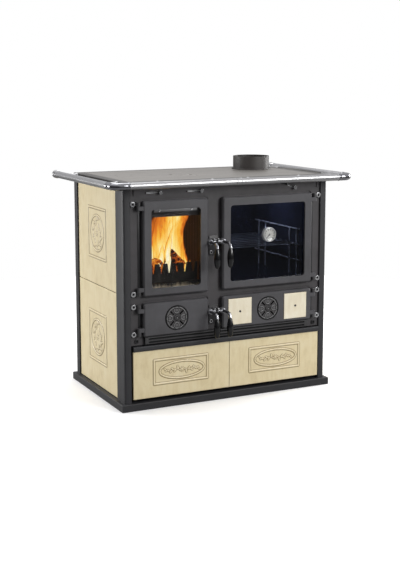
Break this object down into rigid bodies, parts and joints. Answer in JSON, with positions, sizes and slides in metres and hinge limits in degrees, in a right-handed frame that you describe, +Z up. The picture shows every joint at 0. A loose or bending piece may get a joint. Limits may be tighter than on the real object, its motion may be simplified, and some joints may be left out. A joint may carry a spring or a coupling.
{
  "type": "wood cookstove",
  "caption": "Freestanding wood-fired range cooker with a glazed firebox, a glazed oven, lower doors, log drawer, towel rail and top flue collar.",
  "frame": {"origin": "on the floor, in the middle of the outline, which the hand rail bounds", "axes": "+Z up, the doors and drawer face -Y, +X to the right of someone in front of the doors"},
  "size_m": [1.024, 0.6442, 0.904],
  "materials": {
    "cast_black": "satin black stove enamel on cast iron",
    "sheet_black": "satin black paint on folded sheet",
    "hob_border": "dark ground cast border",
    "hob_grey": "ground grey cast plate",
    "collar_black": "satin black heat paint",
    "rail_steel": "brushed steel tube",
    "lever_chrome": "polished chrome",
    "grip_black": "gloss black moulded grip",
    "hinge_steel": "burnished black casting",
    "screw_steel": "bright screw heads",
    "tile_cream": "mottled cream glaze",
    "tile_small": "plain cream glaze",
    "glass_clear": "clear heat-proof glass",
    "glass_dark": "tinted mirror-coated glass",
    "inner_steel": "plain inner sheet",
    "shell_steel": "dark heat-scaled sheet",
    "oven_enamel": "blue-black enamel",
    "wire_steel": "bright wire",
    "firebrick": "sooted firebrick",
    "firewood": "split logs",
    "gauge_steel": "polished case with a white dial",
    "needle_dark": "black needle"
  },
  "bodies": {
    "body": {"plinth": "sheet_black", "front_columns": "sheet_black", "rear_columns": "sheet_black", "side_panels": "inner_steel", "side_tiles_left": "tile_cream", "side_tiles_right": "tile_cream", "rear_panel": "inner_steel", "front_frame": "cast_black", "front_ledge": "cast_black", "hob_frame": "hob_border", "hob_plate": "hob_grey", "flue_collar": "collar_black", "rail_left": "rail_steel", "rail_right": "rail_steel", "rail_fittings": "rail_steel", "rail_brackets": "rail_steel", "hinge_brackets": "hinge_steel", "hinge_pins": "screw_steel", "latch_keepers": "hinge_steel", "frame_screws": "screw_steel", "firebox_shell": "shell_steel", "firebox_floor": "cast_black", "grate": "cast_black", "firebox_linings": "firebrick", "log_guard": "cast_black", "logs": "firewood", "oven_box": "oven_enamel", "oven_ladders": "wire_steel", "oven_shelf": "wire_steel", "mid_floor": "inner_steel", "ash_pan": "inner_steel", "drawer_runners": "inner_steel"},
    "hob_ring": {"hob_ring": "hob_grey"},
    "hob_lid": {"hob_lid": "hob_grey"},
    "firebox_door": {"firebox_door": "cast_black", "firebox_glass": "glass_clear", "firebox_glass_clip": "sheet_black"},
    "firebox_handle": {"firebox_handle": "lever_chrome", "firebox_grip": "grip_black"},
    "oven_door": {"oven_door": "cast_black", "oven_glass": "glass_dark", "thermometer": "gauge_steel"},
    "oven_handle": {"oven_handle": "lever_chrome", "oven_grip": "grip_black"},
    "thermometer_needle": {"thermometer_needle": "needle_dark"},
    "ash_door": {"ash_door": "cast_black"},
    "ash_handle": {"ash_handle": "lever_chrome", "ash_grip": "grip_black"},
    "ash_register": {"ash_register": "cast_black"},
    "lower_door": {"lower_door": "cast_black", "lower_door_tiles": "tile_small", "tile_screws": "screw_steel"},
    "lower_handle": {"lower_handle": "lever_chrome", "lower_grip": "grip_black"},
    "lower_register": {"lower_register": "cast_black"},
    "air_slide_left": {"air_slide_left": "lever_chrome"},
    "air_slide_right": {"air_slide_right": "lever_chrome"},
    "damper_slide": {"damper_slide": "lever_chrome"},
    "drawer": {"drawer_box": "sheet_black", "drawer_tiles": "tile_cream"}
  },
  "joints": [
    {"name": "firebox_door_hinge", "type": "hinge", "parent": "body", "child": "firebox_door", "pos_m": [-0.375, -0.2394, 0.604], "axis": [0, 0, -1], "range_deg": [0, 110]},
    {"name": "oven_door_hinge", "type": "hinge", "parent": "body", "child": "oven_door", "pos_m": [0.375, -0.2394, 0.604], "axis": [0, 0, 1], "range_deg": [0, 110]},
    {"name": "ash_door_hinge", "type": "hinge", "parent": "body", "child": "ash_door", "pos_m": [-0.375, -0.2394, 0.339], "axis": [0, 0, -1], "range_deg": [0, 110]},
    {"name": "lower_door_hinge", "type": "hinge", "parent": "body", "child": "lower_door", "pos_m": [0.375, -0.2394, 0.339], "axis": [0, 0, 1], "range_deg": [0, 110]},
    {"name": "firebox_handle_turn", "type": "hinge", "parent": "firebox_door", "child": "firebox_handle", "pos_m": [-0.088, -0.245, 0.614], "axis": [0, 1, 0], "range_deg": [0, 60]},
    {"name": "oven_handle_turn", "type": "hinge", "parent": "oven_door", "child": "oven_handle", "pos_m": [-0.033, -0.245, 0.614], "axis": [0, -1, 0], "range_deg": [0, 60]},
    {"name": "ash_handle_turn", "type": "hinge", "parent": "ash_door", "child": "ash_handle", "pos_m": [-0.088, -0.245, 0.349], "axis": [0, 1, 0], "range_deg": [0, 60]},
    {"name": "lower_handle_turn", "type": "hinge", "parent": "lower_door", "child": "lower_handle", "pos_m": [-0.033, -0.245, 0.349], "axis": [0, -1, 0], "range_deg": [0, 60]},
    {"name": "ash_register_turn", "type": "hinge", "parent": "ash_door", "child": "ash_register", "pos_m": [-0.227, -0.2474, 0.339], "axis": [0, 1, 0], "range_deg": [0, 45]},
    {"name": "lower_register_turn", "type": "hinge", "parent": "lower_door", "child": "lower_register", "pos_m": [0.163, -0.2474, 0.339], "axis": [0, 1, 0], "range_deg": [0, 45]},
    {"name": "thermometer_needle_turn", "type": "hinge", "parent": "oven_door", "child": "thermometer_needle", "pos_m": [0.166, -0.2524, 0.628], "axis": [0, 1, 0], "range_deg": [0, 270]},
    {"name": "air_slide_left_travel", "type": "slide", "parent": "body", "child": "air_slide_left", "axis": [-1, 0, 0], "range_m": [0, 0.055]},
    {"name": "air_slide_right_travel", "type": "slide", "parent": "body", "child": "air_slide_right", "axis": [-1, 0, 0], "range_m": [0, 0.055]},
    {"name": "damper_slide_travel", "type": "hinge", "parent": "body", "child": "damper_slide", "pos_m": [0.206, -0.2174, 0.667], "axis": [0, -1, 0], "range_deg": [0, 21]},
    {"name": "drawer_travel", "type": "slide", "parent": "body", "child": "drawer", "axis": [0, -1, 0], "range_m": [0, 0.3]},
    {"name": "hob_ring_lift", "type": "slide", "parent": "body", "child": "hob_ring", "axis": [0, 0, 1], "range_m": [0, 0.12]},
    {"name": "hob_lid_lift", "type": "slide", "parent": "hob_ring", "child": "hob_lid", "axis": [0, 0, 1], "range_m": [0, 0.12]}
  ]
}
